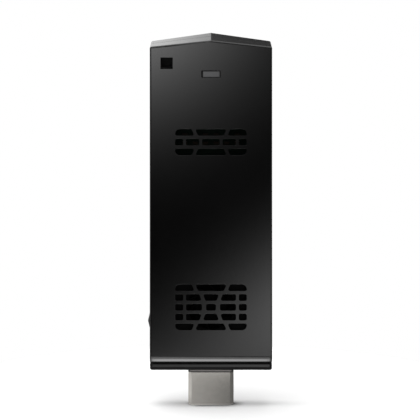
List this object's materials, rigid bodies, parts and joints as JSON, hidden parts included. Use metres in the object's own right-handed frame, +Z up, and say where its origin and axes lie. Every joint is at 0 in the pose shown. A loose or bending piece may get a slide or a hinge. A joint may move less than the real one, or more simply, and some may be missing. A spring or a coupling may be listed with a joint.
{
  "type": "hdmi stick computer",
  "caption": "Slim black stick computer that plugs into a display's HDMI socket, with fan vents, an indicator window, a side power button, a tether corner, and USB, power and card sockets.",
  "frame": {"origin": "centre of the HDMI plug's tip", "axes": "+Z up the stick away from the plug, +X to the right seen from the front, the front with its vents faces -Y"},
  "size_m": [0.0381, 0.0126, 0.1148],
  "materials": {
    "case_black": "fine satin, slightly sheened",
    "band_black": "polished",
    "window_grey": "smoked, set back from the front",
    "button_black": "satin",
    "plug_steel": "fine-ground nickel-plated sheet",
    "root_steel": "dull plated sheet",
    "socket_steel": "bright plated sheet",
    "can_steel": "tinned sheet",
    "contact_gold": "gold-plated",
    "insulator_black": "moulded",
    "switch_black": "moulded",
    "plunger_white": "moulded",
    "board_green": "solder mask",
    "chip_black": "moulded epoxy",
    "die_grey": "polished silicon",
    "pad_grey": "soft pad",
    "spreader_aluminium": "plain extruded",
    "fan_black": "moulded",
    "fan_cover_steel": "thin black paint",
    "magnet_dark": "bonded ferrite",
    "shaft_steel": "ground",
    "bearing_bronze": "sintered",
    "winding_copper": "enamelled windings",
    "lead_black": "soft insulation",
    "connector_white": "moulded",
    "coax_plug_brass": "plated",
    "screw_black": "black plated",
    "coil_grey": "ferrite",
    "capacitor_tan": "fired ceramic",
    "resistor_black": "fired ceramic",
    "crystal_metal": "seam-welded can",
    "led_white": "unlit lamp"
  },
  "bodies": {
    "stick": {"antenna_leads": "lead_black", "antenna_plugs": "coax_plug_brass", "card_base": "insulator_black", "card_contacts": "contact_gold", "card_shell": "socket_steel", "chip_capacitors": "capacitor_tan", "coils": "coil_grey", "cover_screws": "screw_black", "crystal": "crystal_metal", "end_band": "band_black", "fan_bearing": "bearing_bronze", "fan_connector": "connector_white", "fan_cover": "fan_cover_steel", "fan_housing": "fan_black", "fan_lead": "lead_black", "fan_screws": "screw_black", "fan_stator": "winding_copper", "front_cover": "case_black", "heat_spreader": "spreader_aluminium", "left_antenna": "can_steel", "light_pipe": "window_grey", "main_board": "board_green", "memory_chips": "chip_black", "plug_contacts": "contact_gold", "plug_insulator": "insulator_black", "plug_root": "root_steel", "plug_shell": "plug_steel", "power_contacts": "contact_gold", "power_led": "led_white", "power_shell": "socket_steel", "power_tongue": "insulator_black", "processor": "chip_black", "processor_die": "die_grey", "radio_can": "can_steel", "radio_module": "board_green", "rear_cover": "case_black", "regulator": "chip_black", "resistors": "resistor_black", "right_antenna": "can_steel", "shield_can": "can_steel", "spreader_screws": "screw_black", "storage_chip": "chip_black", "switch_body": "switch_black", "thermal_pad": "pad_grey", "usb_contacts": "contact_gold", "usb_shell": "socket_steel", "usb_tongue": "insulator_black"},
    "button": {"power_button": "button_black"},
    "plunger": {"switch_plunger": "plunger_white"},
    "rotor": {"fan_rotor": "fan_black", "fan_magnet": "magnet_dark", "fan_shaft": "shaft_steel"}
  },
  "joints": [
    {"name": "button_press", "type": "slide", "parent": "stick", "child": "button", "axis": [1, 0, 0], "range_m": [0, 0.00025], "stiffness_N_per_m": 1500, "springref_m": -0.0002},
    {"name": "plunger_press", "type": "slide", "parent": "stick", "child": "plunger", "axis": [1, 0, 0], "range_m": [0, 0.00025]},
    {"name": "fan_spin", "type": "hinge", "parent": "stick", "child": "rotor", "pos_m": [0, 0, 0.03141], "axis": [0, 1, 0], "continuous": true}
  ],
  "couplings": [
    {"joint": "plunger_press", "follows": "button_press", "ratio": 1}
  ]
}
